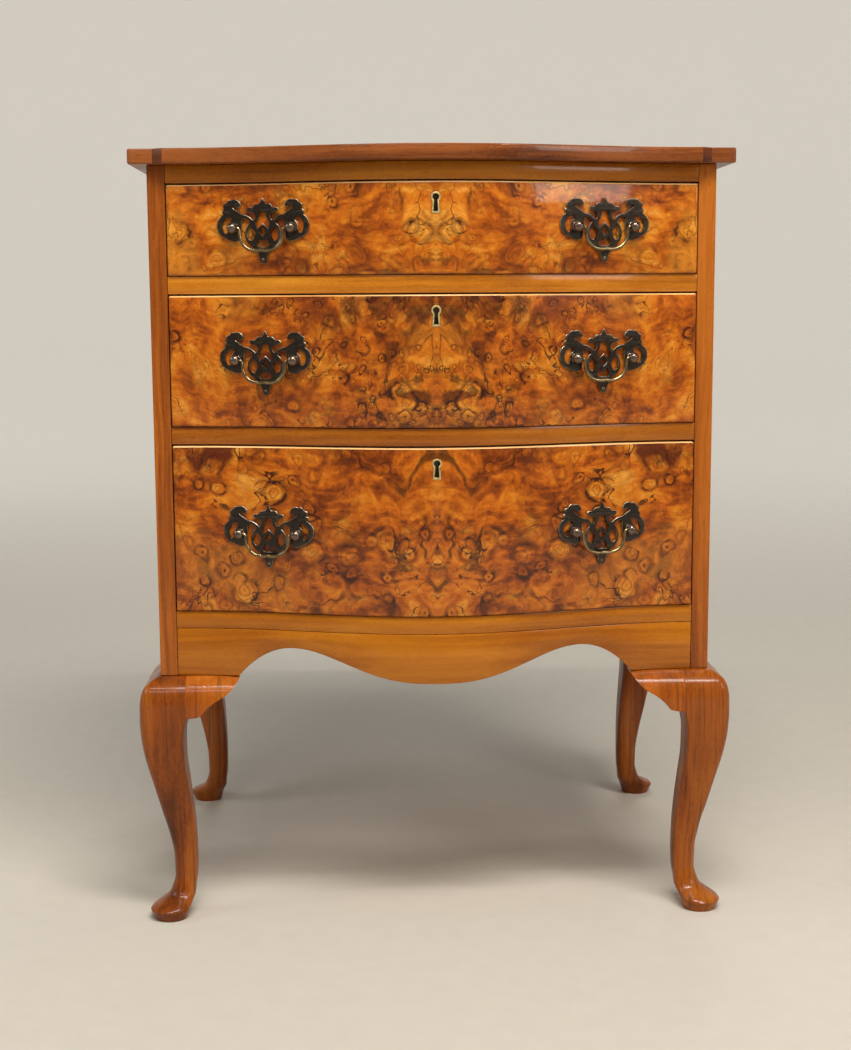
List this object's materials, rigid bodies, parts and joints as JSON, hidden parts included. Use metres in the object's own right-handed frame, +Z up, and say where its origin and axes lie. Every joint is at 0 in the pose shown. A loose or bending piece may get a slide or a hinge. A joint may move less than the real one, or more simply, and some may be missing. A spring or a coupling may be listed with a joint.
{
  "type": "bedside chest of drawers",
  "caption": "Bedside chest of drawers with a serpentine burr walnut front, shaped apron, cabriole legs on pad feet, pierced bail handles and drawer locks that slide and lock.",
  "frame": {"origin": "on the floor, under the middle of the chest", "axes": "+Z up, the drawers open towards -Y, +X to the right as seen from the front"},
  "size_m": [0.589, 0.491, 0.7644],
  "materials": {
    "burr_veneer": "polished burr walnut veneer",
    "walnut_rail": "polished straight-grained walnut",
    "walnut_case": "polished red-brown walnut",
    "walnut_leg": "polished dark red-brown walnut",
    "drawer_lining": "bare drawer lining wood",
    "back_board": "bare back board",
    "dark_bronze": "dark patinated bronze",
    "worn_brass": "worn brass",
    "lock_steel": "plain steel"
  },
  "bodies": {
    "carcase": {"top_panel": "walnut_case", "left_side_panel": "walnut_case", "right_side_panel": "walnut_case", "back_panel": "back_board", "top_rail": "walnut_rail", "upper_rail": "walnut_rail", "lower_rail": "walnut_rail", "bottom_rail": "walnut_rail", "apron": "walnut_rail", "front_left_leg": "walnut_leg", "front_right_leg": "walnut_leg", "back_left_leg": "walnut_leg", "back_right_leg": "walnut_leg", "front_left_knee_bracket": "walnut_leg", "front_right_knee_bracket": "walnut_leg", "side_front_left_knee_bracket": "walnut_leg", "side_front_right_knee_bracket": "walnut_leg", "side_back_left_knee_bracket": "walnut_leg", "side_back_right_knee_bracket": "walnut_leg", "bottom_board": "drawer_lining", "lower_dustboard": "drawer_lining", "upper_dustboard": "drawer_lining", "left_kicker": "drawer_lining", "right_kicker": "drawer_lining"},
    "upper_drawer": {"upper_drawer_front": "burr_veneer", "upper_drawer_left_side": "drawer_lining", "upper_drawer_right_side": "drawer_lining", "upper_drawer_back": "drawer_lining", "upper_drawer_bottom": "drawer_lining", "upper_escutcheon": "worn_brass", "upper_lock_case": "lock_steel", "upper_left_handle_plate": "dark_bronze", "upper_right_handle_plate": "dark_bronze"},
    "middle_drawer": {"middle_drawer_front": "burr_veneer", "middle_drawer_left_side": "drawer_lining", "middle_drawer_right_side": "drawer_lining", "middle_drawer_back": "drawer_lining", "middle_drawer_bottom": "drawer_lining", "middle_escutcheon": "worn_brass", "middle_lock_case": "lock_steel", "middle_left_handle_plate": "dark_bronze", "middle_right_handle_plate": "dark_bronze"},
    "lower_drawer": {"lower_drawer_front": "burr_veneer", "lower_drawer_left_side": "drawer_lining", "lower_drawer_right_side": "drawer_lining", "lower_drawer_back": "drawer_lining", "lower_drawer_bottom": "drawer_lining", "lower_escutcheon": "worn_brass", "lower_lock_case": "lock_steel", "lower_left_handle_plate": "dark_bronze", "lower_right_handle_plate": "dark_bronze"},
    "upper_left_pull": {"upper_left_bail": "dark_bronze"},
    "upper_right_pull": {"upper_right_bail": "dark_bronze"},
    "middle_left_pull": {"middle_left_bail": "dark_bronze"},
    "middle_right_pull": {"middle_right_bail": "dark_bronze"},
    "lower_left_pull": {"lower_left_bail": "dark_bronze"},
    "lower_right_pull": {"lower_right_bail": "dark_bronze"},
    "upper_lock": {"upper_lock_bolt": "lock_steel"},
    "middle_lock": {"middle_lock_bolt": "lock_steel"},
    "lower_lock": {"lower_lock_bolt": "lock_steel"}
  },
  "joints": [
    {"name": "upper_drawer_slide", "type": "slide", "parent": "carcase", "child": "upper_drawer", "axis": [0, -1, 0], "range_m": [0, 0.3]},
    {"name": "middle_drawer_slide", "type": "slide", "parent": "carcase", "child": "middle_drawer", "axis": [0, -1, 0], "range_m": [0, 0.3]},
    {"name": "lower_drawer_slide", "type": "slide", "parent": "carcase", "child": "lower_drawer", "axis": [0, -1, 0], "range_m": [0, 0.3]},
    {"name": "upper_left_bail_swing", "type": "hinge", "parent": "upper_drawer", "child": "upper_left_pull", "pos_m": [-0.16441, -0.2066, 0.6896], "axis": [-0.9695, 0.2451, 0], "range_deg": [-9, 189]},
    {"name": "upper_right_bail_swing", "type": "hinge", "parent": "upper_drawer", "child": "upper_right_pull", "pos_m": [0.16441, -0.2066, 0.6896], "axis": [-0.9695, -0.2451, 0], "range_deg": [-9, 189]},
    {"name": "middle_left_bail_swing", "type": "hinge", "parent": "middle_drawer", "child": "middle_left_pull", "pos_m": [-0.16441, -0.2066, 0.5646], "axis": [-0.9695, 0.2451, 0], "range_deg": [-9, 189]},
    {"name": "middle_right_bail_swing", "type": "hinge", "parent": "middle_drawer", "child": "middle_right_pull", "pos_m": [0.16441, -0.2066, 0.5646], "axis": [-0.9695, -0.2451, 0], "range_deg": [-9, 189]},
    {"name": "lower_left_bail_swing", "type": "hinge", "parent": "lower_drawer", "child": "lower_left_pull", "pos_m": [-0.16441, -0.2066, 0.39635], "axis": [-0.9695, 0.2451, 0], "range_deg": [-9, 189]},
    {"name": "lower_right_bail_swing", "type": "hinge", "parent": "lower_drawer", "child": "lower_right_pull", "pos_m": [0.16441, -0.2066, 0.39635], "axis": [-0.9695, -0.2451, 0], "range_deg": [-9, 189]},
    {"name": "upper_lock_throw", "type": "slide", "parent": "upper_drawer", "child": "upper_lock", "axis": [0, 0, 1], "range_m": [0, 0.0075]},
    {"name": "middle_lock_throw", "type": "slide", "parent": "middle_drawer", "child": "middle_lock", "axis": [0, 0, 1], "range_m": [0, 0.0075]},
    {"name": "lower_lock_throw", "type": "slide", "parent": "lower_drawer", "child": "lower_lock", "axis": [0, 0, 1], "range_m": [0, 0.0075]}
  ]
}
